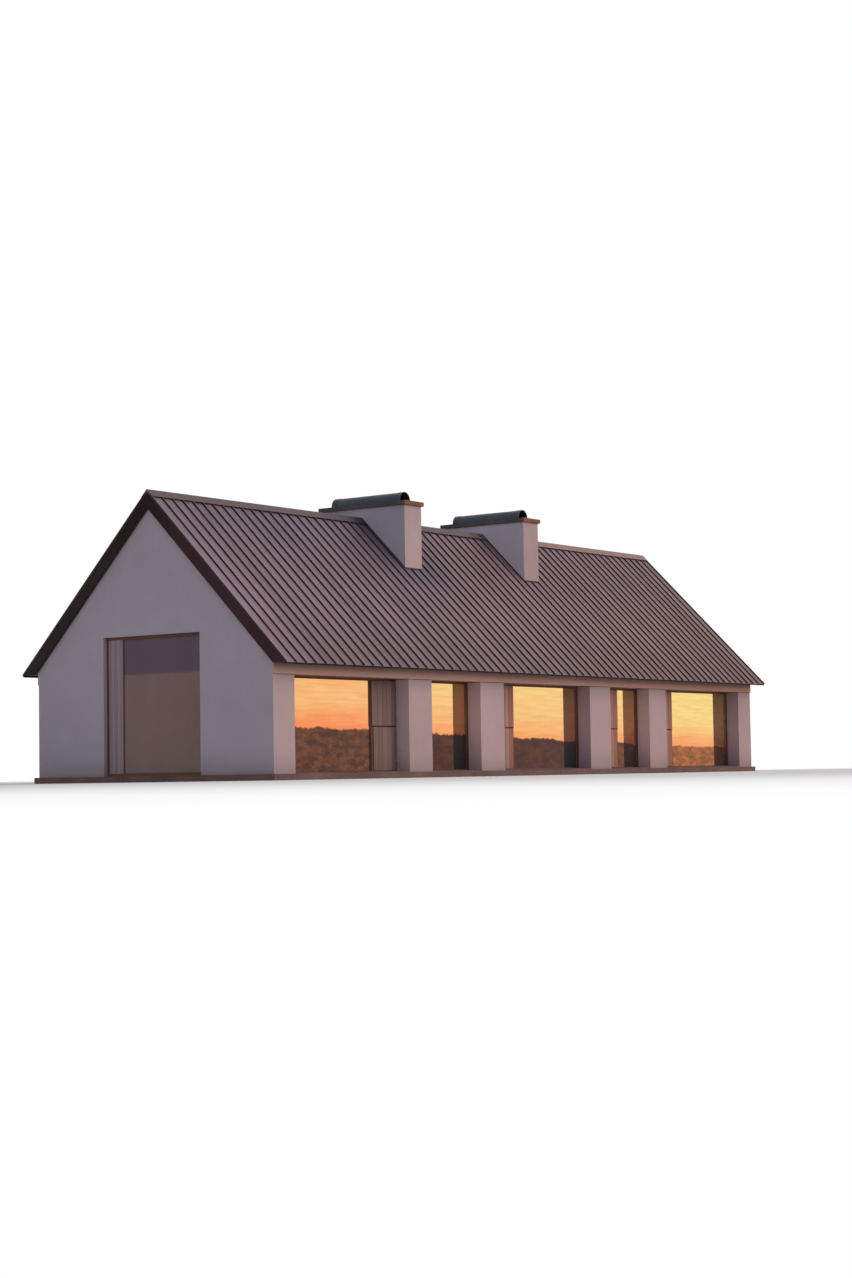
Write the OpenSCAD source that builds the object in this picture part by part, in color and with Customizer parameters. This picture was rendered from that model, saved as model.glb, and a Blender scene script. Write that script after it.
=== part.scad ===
// Long beach house: rendered piers and gables, glazed bays with split timber doors,
// a 45 degree standing-seam roof and two slab chimneys with barrel cowls.
// Millimetres. Origin at the bottom centre of the whole house, X along the ridge,
// -Y towards the door side, +Z up.

/* [Walls] */
// Width of the four corner piers along the facade
end_pier_w = 835; // [600:5:1200]
// Width of the piers beside the wide bays
outer_pier_w = 1045; // [800:5:1300]
// Width of the two piers beside the middle bay
inner_pier_w = 1170; // [900:5:1400]
// Clear width of the first and the last bay
wide_bay_w = 4820; // [4000:10:5500]
// Clear width of the two narrow bays
narrow_bay_w = 2335; // [2000:5:3000]
// Clear width of the middle bay
middle_bay_w = 4620; // [4000:10:5500]
// Width of the house over the faces of its piers
house_w = 8260; // [7200:10:9500]
// Depth of a pier from its face to the room
pier_d = 550; // [500:5:700]
// Height of a pier, from the plinth to the lintel beam
pier_h = 2500; // [2300:5:2900]
// Height of the beam's face under the soffit
beam_h = 272; // [200:1:400]
// How far the beam stands out from the piers
beam_out = 35; // [10:1:60]
// Thickness of the gable walls
gable_t = 450; // [400:5:600]
// Height of the plinth above the ground
plinth_h = 160; // [100:5:300]
// How far the plinth stands out from the walls
plinth_out = 95; // [40:5:100]
// Thickness of the floor finish on the plinth
floor_t = 20; // [10:1:38]

/* [Roof] */
// Pitch of both roof slopes in degrees
pitch = 45; // [38:0.5:50]
// Overhang of the roof past the pier faces at the eaves
eave_over = 485; // [350:5:600]
// Overhang of the roof past the gable walls
verge_over = 105; // [90:1:160]
// Thickness of the roof slab, square to its slope
roof_t = 285; // [200:1:340]
// Thickness of the barge boards on the gables
barge_t = 25; // [18:1:40]
// Thickness of the metal sheet between its seams
sheet_t = 8; // [5:0.5:12]
// Height of a standing seam above the sheet
seam_h = 42; // [30:1:60]
// Width of a standing seam at its foot
seam_w = 34; // [24:1:44]
// Slope on each side of a seam, from its foot to its top
seam_taper = 6; // [2:0.5:8]
// Number of sheet bays between the two verges
seam_bays = 64; // [56:1:72]
// How far the sheet runs past the slab at the eaves
drip_out = 20; // [10:1:40]
// Length of each ridge cap flange down its slope
ridge_flange = 220; // [180:5:300]
// Length of the closing block under each flange
ridge_block = 110; // [80:5:150]
// Thickness of the folded ridge cap
ridge_t = 6; // [4:0.5:10]
// Gap under the flange between that block and the seams' ends
seam_end_gap = 20; // [5:5:25]
// Joint between the metal and the chimneys
flashing_gap = 3; // [1:0.5:5]

/* [Chimneys] */
// Width of a chimney stack along the ridge
stack_w = 815; // [700:5:950]
// Length of a chimney stack across the ridge
stack_d = 3090; // [2600:10:3400]
// Height of the stack tops above the ridge of the roof slabs
stack_rise = 358; // [320:1:900]
// Place of the first stack's near face from the near gable
stack_1_x = 9060; // [8000:10:9500]
// Place of the second stack's near face from the near gable
stack_2_x = 15260; // [14500:10:16000]
// Thickness of the cap slab on each stack
cap_t = 110; // [80:5:150]
// Overhang of the cap slab on all four sides
cap_over = 60; // [40:5:100]
// Width of the flue slot
flue_w = 260; // [200:5:300]
// Length of the flue slot
flue_l = 1800; // [1500:10:2000]
// Depth of the flue slot below the stack's top
flue_depth = 280; // [150:10:320]
// Outer radius of the barrel cowl
cowl_r = 250; // [220:1:300]
// Height of the cowl's upright sides
cowl_foot = 50; // [30:1:90]
// Thickness of the cowl's metal
cowl_t = 12; // [8:0.5:20]
// Length of the cowl across the ridge
cowl_l = 2530; // [2200:10:2800]
// Width of the raised band at each end of the cowl
cowl_band_w = 170; // [100:5:250]
// Thickness of the raised band
cowl_band_t = 8; // [4:0.5:15]

/* [Glazing] */
// Depth of the frames behind the pier faces
frame_set = 440; // [350:5:450]
// Width of the frame bars at the sides of the glass
frame_bar = 60; // [45:1:80]
// Height of the frame's head
frame_head = 50; // [40:1:80]
// Height of the frame's sill
frame_sill = 40; // [40:1:70]
// Depth of the glass behind the front of its frame
glass_set = 43; // [30:1:55]
// Thickness of the glass
glass_t = 28; // [20:1:36]
// Joint between the two panes of a wide window
pane_joint = 8; // [6:1:15]

/* [Doors] */
// Width of a door leaf
leaf_w = 1000; // [850:5:1100]
// Thickness of a door leaf
leaf_t = 60; // [45:1:75]
// How far a leaf stands out from its frame
leaf_proud = 25; // [20:1:35]
// Joint between a leaf and its frame
leaf_gap = 8; // [7:0.5:12]
// Width of the post on the hinge side
hinge_jamb = 30; // [25:1:50]
// Height of the split between the leaves above the pier feet
split_h = 1222; // [1000:2:1400]
// Joint between the upper and the lower leaf
split_gap = 14; // [10:1:20]
// Width of the strip by which the upper leaf laps its post
lap_w = 45; // [25:1:50]
// Thickness of that lapping strip
lap_t = 17; // [12:0.5:18]
// Number of boards on a leaf
boards = 5; // [4:1:7]
// Width of the groove between two boards
groove_w = 8; // [4:0.5:12]
// Depth of the groove between two boards
groove_d = 6; // [3:0.5:10]
// How far the frame's stop laps behind a leaf's edges
stop_lap = 12; // [8:1:20]
// Gap between a leaf's back and that stop
stop_gap = 5; // [4:0.5:8]

/* [Hinges] */
// Radius of a hinge's knuckles
knuckle_r = 9; // [7:0.5:10]
// Height of one knuckle
knuckle_h = 45; // [30:1:60]
// Gap of a leaf round the knuckle fixed to its post
knuckle_gap = 3; // [2:0.5:4]
// Radius of the hinge pin
pin_r = 5; // [4:0.5:5.5]
// Play round the pin and between two knuckles
pin_play = 0.5; // [0.3:0.1:1]
// Depth of the pin's end below the top of its leaf's knuckle
pin_short = 4; // [2:0.5:8]
// Distance of a hinge from its leaf's top or bottom
hinge_inset = 150; // [100:5:220]
// Thickness of the plate that holds a pin to its post
hinge_plate_t = 6; // [4:0.5:8]
// Margin of that plate on its post
hinge_plate_edge = 2; // [1:0.5:4]

/* [Gable windows] */
// Width of a gable window
gable_window_w = 3400; // [2600:10:4000]
// Height of a gable window's head above the pier feet
gable_window_h = 3660; // [3000:10:3900]
// Depth of the gable frames behind the wall's face
gable_frame_set = 120; // [80:5:200]
// Width of the gable frames' bars
gable_bar = 70; // [50:1:90]
// Width of the fixed boarded panel beside the glass
side_panel_w = 510; // [400:5:700]
// Depth of that panel behind the front of its frame
side_panel_set = 18; // [10:1:30]

/* [Hidden] */

render_grey = "#a39c9f";
beam_grey = "#a89f9c";
metal_brown = "#7d7074";
barge_brown = "#3f3031";
cowl_blue = "#4d5a63";
frame_brown = "#3a3030";
timber_grey = "#8d7f7b";
glass_tint = "#c9b9a8";
floor_grey = "#8f8880";

// Tiny overrun of a cut past the face that it opens
cut = 1;
// Sides of a full circle where the cowls are drawn
$fn = 64;

pier_ws = [end_pier_w, outer_pier_w, inner_pier_w, inner_pier_w, outer_pier_w, end_pier_w];
bay_ws = [wide_bay_w, narrow_bay_w, middle_bay_w, narrow_bay_w, wide_bay_w];
bay_count = len(bay_ws);
// Side of each front bay that its door hangs on: 1 far, -1 near, 0 none
door_sides = [1, 0, -1, -1, -1];
no_doors = [0, 0, 0, 0, 0];
split_panes = [true, false, true, false, true];

function total(list, count) = count == 0 ? 0 : list[count - 1] + total(list, count - 1);
house_l = total(pier_ws, len(pier_ws)) + total(bay_ws, bay_count);
function pier_x(i) = -house_l / 2 + total(pier_ws, i) + total(bay_ws, i);
function bay_x(i) = pier_x(i) + pier_ws[i];

half_w = house_w / 2;
room_half_w = half_w - pier_d;
head_z = plinth_h + pier_h;
eave_z = head_z + beam_h;
eave_y = half_w + eave_over;
ridge_z = eave_z + eave_y * tan(pitch);
roof_l = house_l + 2 * verge_over;
seam_top = sheet_t + seam_h;
stack_z = ridge_z + stack_rise;
stack_xs = [stack_1_x - house_l / 2, stack_2_x - house_l / 2];
leaf_zone = hinge_jamb + leaf_w + 2 * leaf_gap;
stop_w = leaf_gap + stop_lap;
frame_d = pier_d - frame_set;
gable_frame_d = frame_d;
gable_head_z = plinth_h + gable_window_h;

// Height of the plane that lies h above the top of the roof slab, y from the ridge
function roof_z(y, h) = ridge_z + h / cos(pitch) - y * tan(pitch);
// Place from the ridge where that plane comes down to the height z
function roof_y(z, h) = (ridge_z + h / cos(pitch) - z) / tan(pitch);

// Carries an outline in Y and Z along the house
module run_x(start, length) {
    translate([start, 0, 0]) rotate([90, 0, 90]) linear_extrude(length) children();
}

module to_back() {
    mirror([0, 1, 0]) children();
}

module to_far() {
    mirror([1, 0, 0]) children();
}

module plinth() {
    color(render_grey)
        translate([-house_l / 2 - plinth_out, -half_w - plinth_out, 0])
            cube([house_l + 2 * plinth_out, house_w + 2 * plinth_out, plinth_h]);
}

module floor_finish() {
    color(floor_grey)
        translate([-house_l / 2 + gable_t, -room_half_w, plinth_h])
            cube([house_l - 2 * gable_t, 2 * room_half_w, floor_t]);
}

module pier(i) {
    color(render_grey)
        translate([pier_x(i), -half_w, plinth_h])
            cube([pier_ws[i], pier_d, pier_h]);
}

module back_piers() {
    to_back() for (i = [0:bay_count]) pier(i);
}

// The beam's top is cut to the slope, so the roof slab lies on it
module beam() {
    outer = half_w + beam_out;
    color(beam_grey)
        run_x(-house_l / 2, house_l)
            polygon([
                [-outer, head_z],
                [-room_half_w, head_z],
                [-room_half_w, roof_z(room_half_w, -roof_t)],
                [-outer, roof_z(outer, -roof_t)]
            ]);
}

module gable_wall() {
    shoulder_z = roof_z(room_half_w, -roof_t);
    color(render_grey)
        run_x(-house_l / 2, gable_t)
            polygon([
                [-room_half_w, plinth_h],
                [-gable_window_w / 2, plinth_h],
                [-gable_window_w / 2, gable_head_z],
                [gable_window_w / 2, gable_head_z],
                [gable_window_w / 2, plinth_h],
                [room_half_w, plinth_h],
                [room_half_w, shoulder_z],
                [0, roof_z(0, -roof_t)],
                [-room_half_w, shoulder_z]
            ]);
}

// One slope's slab, cut upright at the ridge and level at the eaves
module roof_slope() {
    slab_l = roof_l - 2 * barge_t;
    color(barge_brown)
        run_x(-slab_l / 2, slab_l)
            polygon([
                [0, ridge_z],
                [-eave_y, eave_z],
                [-roof_y(eave_z, -roof_t), eave_z],
                [0, roof_z(0, -roof_t)]
            ]);
}

module barge_boards() {
    color(barge_brown)
        run_x(-roof_l / 2, barge_t)
            polygon([
                [0, ridge_z],
                [-eave_y, eave_z],
                [-roof_y(eave_z, -roof_t), eave_z],
                [0, roof_z(0, -roof_t)],
                [roof_y(eave_z, -roof_t), eave_z],
                [eave_y, eave_z]
            ]);
}

// Outline of the sheet across its seams, carried down the slope
module roof_sheet() {
    pitch_x = (roof_l - seam_w) / seam_bays;
    seam_points = [
        for (i = [0:seam_bays])
            let (x = i * pitch_x)
                each [
                    [x, sheet_t],
                    [x + seam_taper, seam_top],
                    [x + seam_w - seam_taper, seam_top],
                    [x + seam_w, sheet_t]
                ]
    ];
    slope_l = eave_y / cos(pitch) + drip_out;
    color(metal_brown)
        difference() {
            translate([-roof_l / 2, 0, ridge_z])
                rotate([90 + pitch, 0, 0])
                    difference() {
                        linear_extrude(slope_l)
                            polygon(concat([[0, 0]], seam_points, [[roof_l, 0]]));
                        translate([-cut, sheet_t, -cut])
                            cube([roof_l + 2 * cut, seam_h + cut, ridge_block + seam_end_gap + cut]);
                    }
            for (x = stack_xs)
                translate([x - flashing_gap, -stack_d / 2 - flashing_gap, eave_z])
                    cube([stack_w + 2 * flashing_gap, stack_d / 2 + 2 * flashing_gap, stack_z]);
        }
}

// A layer of the ridge cap on the front slope, from its height low to high over the slab
module ridge_layer(start, length, low, high, run) {
    past_ridge = high * tan(pitch);
    intersection() {
        translate([start, 0, ridge_z])
            rotate([90 + pitch, 0, 0])
                translate([0, low, -past_ridge])
                    cube([length, high - low, run + past_ridge]);
        translate([start, -half_w, 0])
            cube([length, half_w, 2 * ridge_z]);
    }
}

module ridge_half(start, length) {
    ridge_layer(start, length, sheet_t, seam_top, ridge_block);
    ridge_layer(start, length, seam_top, seam_top + ridge_t, ridge_flange);
}

// Folded cap in three lengths between the gables and the chimneys
module ridge_cap() {
    starts = [-roof_l / 2, for (x = stack_xs) x + stack_w + flashing_gap];
    ends = [for (x = stack_xs) x - flashing_gap, roof_l / 2];
    color(metal_brown)
        for (i = [0:len(starts) - 1]) {
            ridge_half(starts[i], ends[i] - starts[i]);
            to_back() ridge_half(starts[i], ends[i] - starts[i]);
        }
}

module flue(i, depth, height) {
    translate([stack_xs[i] + (stack_w - flue_w) / 2, -flue_l / 2, stack_z - depth])
        cube([flue_w, flue_l, height]);
}

// The stack's foot is notched over the ridge and stands on both slabs
module chimney_stack(i) {
    color(render_grey)
        difference() {
            run_x(stack_xs[i], stack_w)
                polygon([
                    [-stack_d / 2, stack_z],
                    [-stack_d / 2, roof_z(stack_d / 2, 0)],
                    [0, ridge_z],
                    [stack_d / 2, roof_z(stack_d / 2, 0)],
                    [stack_d / 2, stack_z]
                ]);
            flue(i, flue_depth, flue_depth + cut);
        }
}

module chimney_cap(i) {
    color(cowl_blue)
        difference() {
            translate([stack_xs[i] - cap_over, -stack_d / 2 - cap_over, stack_z])
                cube([stack_w + 2 * cap_over, stack_d + 2 * cap_over, cap_t]);
            flue(i, cut, cap_t + 2 * cut);
        }
}

// A barrel on upright sides, from the cap's top
module barrel(radius, length) {
    translate([0, -length / 2, cowl_foot]) rotate([-90, 0, 0]) cylinder(r = radius, h = length);
    translate([-radius, -length / 2, 0]) cube([2 * radius, length, cowl_foot]);
}

module chimney_cowl(i) {
    band_y = (cowl_l - cowl_band_w) / 2;
    color(cowl_blue)
        translate([stack_xs[i] + stack_w / 2, 0, stack_z + cap_t])
            difference() {
                union() {
                    barrel(cowl_r, cowl_l);
                    for (side = [-1, 1])
                        translate([0, side * band_y, 0])
                            barrel(cowl_r + cowl_band_t, cowl_band_w);
                }
                barrel(cowl_r - cowl_t, cowl_l + 2 * cut);
                translate([-house_w, -cowl_l, -cowl_r * 2])
                    cube([2 * house_w, 2 * cowl_l, cowl_r * 2]);
            }
}

// Place of the glass in a bay, from the bay's near end
function glass_from(side) = side < 0 ? leaf_zone + frame_bar : frame_bar;
function glass_to(i, side) = bay_ws[i] - (side > 0 ? leaf_zone + frame_bar : frame_bar);
// Place of the door's clear opening in a bay
function doorway_from(i, side) = side < 0 ? hinge_jamb : bay_ws[i] - leaf_zone;

module bay_frame(i, sides) {
    side = sides[i];
    clear_h = pier_h - frame_sill - frame_head;
    color(frame_brown)
        translate([bay_x(i), -half_w + frame_set, plinth_h])
            difference() {
                cube([bay_ws[i], frame_d, pier_h]);
                translate([glass_from(side), -cut, frame_sill])
                    cube([glass_to(i, side) - glass_from(side), frame_d + 2 * cut, clear_h]);
                if (side != 0) {
                    translate([doorway_from(i, side), -cut, frame_sill])
                        cube([leaf_w + 2 * leaf_gap, leaf_t - leaf_proud + stop_gap + cut, clear_h]);
                    translate([doorway_from(i, side) + stop_w, -cut, frame_sill + stop_w])
                        cube([
                            leaf_w + 2 * leaf_gap - 2 * stop_w,
                            frame_d + 2 * cut,
                            clear_h - 2 * stop_w
                        ]);
                }
            }
}

module bay_glass(i, sides) {
    side = sides[i];
    glass_w = glass_to(i, side) - glass_from(side);
    pane_w = split_panes[i] ? (glass_w - pane_joint) / 2 : glass_w;
    color(glass_tint, 0.5)
        for (n = [0:split_panes[i] ? 1 : 0])
            translate([
                bay_x(i) + glass_from(side) + n * (pane_w + pane_joint),
                -half_w + frame_set + glass_set,
                plinth_h + frame_sill
            ])
                cube([pane_w, glass_t, pier_h - frame_sill - frame_head]);
}

module front_glass() {
    for (i = [0:bay_count - 1]) bay_glass(i, door_sides);
}

module back_frames() {
    to_back() for (i = [0:bay_count - 1]) bay_frame(i, no_doors);
}

module back_glass() {
    to_back() for (i = [0:bay_count - 1]) bay_glass(i, no_doors);
}

// The boarded panel stays solid beside the glass, set back from the frame's front
module gable_frame() {
    clear_h = gable_window_h - 2 * gable_bar;
    glass_w = gable_window_w - 2 * gable_bar - side_panel_w;
    color(frame_brown)
        translate([-house_l / 2 + gable_frame_set, -gable_window_w / 2, plinth_h])
            difference() {
                cube([gable_frame_d, gable_window_w, gable_window_h]);
                translate([-cut, gable_bar, gable_bar])
                    cube([gable_frame_d + 2 * cut, glass_w, clear_h]);
                translate([-cut, gable_bar + glass_w - cut, gable_bar])
                    cube([side_panel_set + cut, side_panel_w + cut, clear_h]);
            }
}

module gable_pane() {
    color(glass_tint, 0.5)
        translate([
            -house_l / 2 + gable_frame_set + glass_set,
            -gable_window_w / 2 + gable_bar,
            plinth_h + gable_bar
        ])
            cube([
                glass_t,
                gable_window_w - 2 * gable_bar - side_panel_w,
                gable_window_h - 2 * gable_bar
            ]);
}

module gable_glass() {
    gable_pane();
    to_far() gable_pane();
}

function leaf_foot(is_upper) = is_upper ? split_h + split_gap / 2 : frame_sill + leaf_gap;
function leaf_head(is_upper) = is_upper ? pier_h - frame_head - leaf_gap : split_h - split_gap / 2;
function leaf_h(is_upper) = leaf_head(is_upper) - leaf_foot(is_upper);
function hinge_feet(is_upper) = [hinge_inset, leaf_h(is_upper) - hinge_inset - 2 * knuckle_h];

// Sets what is drawn round a leaf's hinge axis in its place, mirrored where it hangs on the far side
module on_hinge(i, is_upper) {
    side = door_sides[i];
    from_bay = hinge_jamb + leaf_gap;
    hinge_x = side < 0 ? bay_x(i) + from_bay : bay_x(i) + bay_ws[i] - from_bay;
    translate([hinge_x, -half_w + frame_set - leaf_proud, plinth_h + leaf_foot(is_upper)])
        mirror([side > 0 ? 1 : 0, 0, 0])
            children();
}

// A leaf's upright knuckles turn on the pins, and its edge is notched round the fixed ones
module leaf(i, is_upper) {
    board_w = leaf_w / boards;
    height = leaf_h(is_upper);
    color(timber_grey)
        on_hinge(i, is_upper)
            difference() {
                union() {
                    cube([leaf_w, leaf_t, height]);
                    if (is_upper)
                        cube([leaf_w + leaf_gap + lap_w, lap_t, height]);
                    for (z = hinge_feet(is_upper))
                        translate([0, 0, z + knuckle_h + pin_play])
                            cylinder(r = knuckle_r, h = knuckle_h);
                }
                for (n = [1:boards - 1])
                    translate([n * board_w - groove_w / 2, -cut, -cut])
                        cube([groove_w, groove_d + cut, height + 2 * cut]);
                for (z = hinge_feet(is_upper)) {
                    translate([0, 0, z - knuckle_gap])
                        cylinder(r = knuckle_r + knuckle_gap, h = knuckle_h + knuckle_gap + pin_play);
                    translate([0, 0, z])
                        cylinder(r = pin_r + pin_play, h = 2 * knuckle_h + pin_play + cut);
                }
            }
}

// Fixed knuckle with its pin, and the folded plate that starts inside it and lies on the post
module hinge_pin() {
    root = knuckle_r / 2;
    cylinder(r = knuckle_r, h = knuckle_h);
    cylinder(r = pin_r, h = 2 * knuckle_h + pin_play - pin_short);
    linear_extrude(knuckle_h)
        polygon([
            [0, root],
            [-root, 0],
            [-leaf_gap - hinge_plate_t, leaf_proud - hinge_plate_t],
            [-leaf_gap - hinge_jamb + hinge_plate_edge, leaf_proud - hinge_plate_t],
            [-leaf_gap - hinge_jamb + hinge_plate_edge, leaf_proud],
            [-leaf_gap, leaf_proud]
        ]);
}

module hinge_pins() {
    color(frame_brown)
        for (i = [0:bay_count - 1])
            if (door_sides[i] != 0)
                for (is_upper = [false, true])
                    on_hinge(i, is_upper)
                        for (z = hinge_feet(is_upper))
                            translate([0, 0, z]) hinge_pin();
}

plinth();
floor_finish();  // floor
pier(0);  // front_pier_1
pier(1);  // front_pier_2
pier(2);  // front_pier_3
pier(3);  // front_pier_4
pier(4);  // front_pier_5
pier(5);  // front_pier_6
back_piers();
beam();  // front_beam
to_back() beam();  // back_beam
gable_wall();  // near_gable_wall
to_far() gable_wall();  // far_gable_wall
roof_slope();  // front_roof_slope
to_back() roof_slope();  // back_roof_slope
roof_sheet();  // front_roof_sheet
to_back() roof_sheet();  // back_roof_sheet
ridge_cap();
barge_boards();  // near_barge_boards
to_far() barge_boards();  // far_barge_boards
chimney_stack(0);  // chimney_1_stack
chimney_cap(0);  // chimney_1_cap
chimney_cowl(0);  // chimney_1_cowl
chimney_stack(1);  // chimney_2_stack
chimney_cap(1);  // chimney_2_cap
chimney_cowl(1);  // chimney_2_cowl
bay_frame(0, door_sides);  // front_frame_1
bay_frame(1, door_sides);  // front_frame_2
bay_frame(2, door_sides);  // front_frame_3
bay_frame(3, door_sides);  // front_frame_4
bay_frame(4, door_sides);  // front_frame_5
front_glass();
back_frames();
back_glass();
gable_frame();  // near_gable_frame
to_far() gable_frame();  // far_gable_frame
gable_glass();
hinge_pins();
leaf(0, true);  // door_1_upper
leaf(0, false);  // door_1_lower
leaf(2, true);  // door_3_upper
leaf(2, false);  // door_3_lower
leaf(3, true);  // door_4_upper
leaf(3, false);  // door_4_lower
leaf(4, true);  // door_5_upper
leaf(4, false);  // door_5_lower
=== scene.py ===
"""Finish of the long beach house: rendered walls, seamed metal roof, barrel cowls, glass and timber doors.
Metres, in the model's own frame: X along the ridge, -Y towards the door side, +Z up.
"""
import math

import bmesh
import bpy
import numpy as np
from mathutils import Matrix, Vector


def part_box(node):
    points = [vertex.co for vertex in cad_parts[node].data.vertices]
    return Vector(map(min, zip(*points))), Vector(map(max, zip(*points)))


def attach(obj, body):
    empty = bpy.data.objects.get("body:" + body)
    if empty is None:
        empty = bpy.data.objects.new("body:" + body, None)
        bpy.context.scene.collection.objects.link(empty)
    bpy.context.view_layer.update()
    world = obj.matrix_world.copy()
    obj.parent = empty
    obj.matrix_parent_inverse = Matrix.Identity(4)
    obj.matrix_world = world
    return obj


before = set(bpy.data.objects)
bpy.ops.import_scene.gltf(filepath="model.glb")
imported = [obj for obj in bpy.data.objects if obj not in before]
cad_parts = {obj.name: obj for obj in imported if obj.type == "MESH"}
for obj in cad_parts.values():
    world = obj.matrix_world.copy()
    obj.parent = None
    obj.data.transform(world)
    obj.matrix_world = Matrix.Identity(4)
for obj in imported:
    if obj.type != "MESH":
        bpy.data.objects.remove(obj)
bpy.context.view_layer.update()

# Camera of the photograph, which is taken as 852 by 1278 pixels
PHOTO_HEIGHT_PX = 1278
FOCAL_PX = 2231.4
SENSOR_MM = 36.0
EYE = Vector((-55.028, -39.922, 0.146))
YAW = math.radians(53.849)
PITCH = math.radians(3.414)
ROLL = math.radians(-0.928)
VIEW_END = 600.0

# Light levels: a surface lit by 1.0 shows its colour as it is written
KEY_LEVEL = 0.62
KEY_TOWARDS = (0.5, -1.0, 0.62)
KEY_TINT = (1.0, 0.89, 0.82)
KEY_SPREAD = 50
FILL_LEVEL = 0.22
FILL_TOWARDS = (-1.0, -0.35, 0.5)
FILL_TINT = (0.74, 0.85, 1.0)
FILL_SPREAD = 70
SKY_LEVEL = 0.30
SKY_TINT = (0.91, 0.95, 1.0, 1.0)
WHITE = (1.0, 1.0, 1.0, 1.0)

# The studio floor: its half side, its colour, and where it turns as white as the backdrop
FLOOR_REACH = 260.0
FLOOR_COLOR = (0.88, 0.875, 0.87, 1.0)
FLOOR_WHITENS = (22.0, 60.0)

# Along X, from where to where a painted tone of light, shade or reflection shifts
PIER_FRONTS_SHIFT = (-8.0, 12.0)
PIER_SIDES_SHIFT = (-9.0, 5.0)
STACK_SIDES_SHIFT = (-5.0, 4.0)
SHEETS_SHIFT = (-9.0, 9.0)
SHEETS_RIDGE_SHADE_SHIFT = (-4.0, 2.0)
PAST_FIRST_GLASS = (-8.0, -4.5)
TO_LAST_GLASS = (3.0, 9.0)

# Heights where a painted tone changes: the barges' painted shade, the gable glass's painted reflection and
# the front glass's painted reflection of brown land
BARGE_DARKENS_Z = 5.2
DUSKY_GLASS_Z = (2.78, 2.86)
LAND_REFLECTION_Z = (0.82, 0.88)

# Tints that a tone is multiplied by, for the evening's shading
FAR_FRONTS = (0.88, 0.84, 0.84, 1.0)
NEAR_SIDES = (1.55, 1.38, 1.30, 1.0)
FAR_SIDES = (0.81, 0.75, 0.82, 1.0)
NARROW_BAY_SIDES = (1.30, 1.12, 1.10, 1.0)
BEAM_FOOT = (1.16, 1.14, 1.15, 1.0)
BEAM_TOP = (0.52, 0.50, 0.50, 1.0)
NEAR_STACK_SIDES = (1.0, 1.02, 1.04, 1.0)
FAR_STACK_SIDES = (1.16, 1.19, 1.23, 1.0)
SOFFITS = (0.62, 0.58, 0.52, 1.0)
SHEETS_AT_EAVE = (0.82, 0.81, 0.78, 1.0)
SHEETS_AT_VERGE = (1.22, 1.20, 1.26, 1.0)
SHEETS_AT_STACK = (0.60, 0.67, 0.75, 1.0)
RIDGE_AT_STACK = (0.28, 0.32, 0.44, 1.0)
BARGE_AT_APEX = (0.55, 0.45, 0.42, 1.0)
GLASS_STREAKS = (0.98, 0.86, 0.83, 1.0)
GLASS_DUST = (0.17, 0.22, 0.25, 1.0)

PIER_NODES = [f"front_pier_{n}" for n in range(1, 7)]
FRONT_BAYS = range(1, 6)
DOOR_BAYS = (1, 3, 4, 5)


def corners(node):
    """The lowest and the highest corner of a node as arrays."""
    low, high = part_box(node)
    return np.array(low), np.array(high)


# Places that follow from the model's own pieces
PIERS = np.array([corners(node) for node in PIER_NODES])
PIER_FACE = -PIERS[0, 0, 1]
ROOM_FACE = -PIERS[0, 1, 1]
PIER_FOOT = PIERS[0, 0, 2]
PIER_HEAD = PIERS[0, 1, 2]
NARROW_END = PIERS[4, 0, 0]
FRAME_FACE = -corners("front_frame_2")[0][1]
GABLE_FACE = -corners("near_gable_wall")[0][0]
EAVE_Y = -corners("front_roof_slope")[0][1]
EAVE_Z = corners("front_roof_slope")[0][2]
RIDGE_Z = corners("front_roof_slope")[1][2]
ROOF_END = corners("front_roof_sheet")[1][0]
ROOF_SLOPE = math.atan2(RIDGE_Z - EAVE_Z, EAVE_Y)
STACKS = np.array([corners(f"chimney_{n}_stack") for n in (1, 2)])
CAPS = np.array([corners(f"chimney_{n}_cap") for n in (1, 2)])
COWLS = np.array([corners(f"chimney_{n}_cowl") for n in (1, 2)])

# Sizes of the roof's metal
SHEET_T = 0.008
SEAM_W = 0.034
SEAM_BAYS = 64
SEAM_PITCH = (2 * ROOF_END - SEAM_W) / SEAM_BAYS
RIDGE_TOP = 0.056
RIDGE_FLANGE = 0.22
COWL_FOOT = 0.05

# Sizes of the doors and of the gable's boarded panel
BOARD_W = 0.2
PANEL_BOARD_W = 0.102
PANEL_START = 1.12
LEAF_SPLIT = corners("door_1_upper")[0][2] - 0.007
KNUCKLE_R = 0.009


def camera():
    """The photograph's camera: f = focal length in pixels times the sensor over the picture's height."""
    forward = Vector((
        math.sin(YAW) * math.cos(PITCH),
        math.cos(YAW) * math.cos(PITCH),
        math.sin(PITCH),
    ))
    level_right = Vector((math.cos(YAW), -math.sin(YAW), 0.0))
    level_up = level_right.cross(forward)
    right = math.cos(ROLL) * level_right + math.sin(ROLL) * level_up
    up = math.cos(ROLL) * level_up - math.sin(ROLL) * level_right
    turn = Matrix((right, up, -forward)).transposed().to_4x4()
    lens = bpy.data.cameras.new("photo_camera")
    lens.sensor_fit = "VERTICAL"
    lens.sensor_height = SENSOR_MM
    lens.lens = FOCAL_PX / PHOTO_HEIGHT_PX * SENSOR_MM
    lens.clip_end = VIEW_END
    eye = bpy.data.objects.new("photo_camera", lens)
    eye.matrix_world = Matrix.Translation(EYE) @ turn
    bpy.context.scene.collection.objects.link(eye)
    bpy.context.scene.camera = eye


def soft_sun(name, towards, level, tint, spread):
    """A wide sun: its power is pi times the level, so a white surface facing it shows that level."""
    lamp = bpy.data.lights.new(name, "SUN")
    lamp.energy = math.pi * level
    lamp.color = tint
    lamp.angle = math.radians(spread)
    holder = bpy.data.objects.new(name, lamp)
    holder.rotation_euler = Vector(towards).to_track_quat("Z", "Y").to_euler()
    bpy.context.scene.collection.objects.link(holder)


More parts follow.
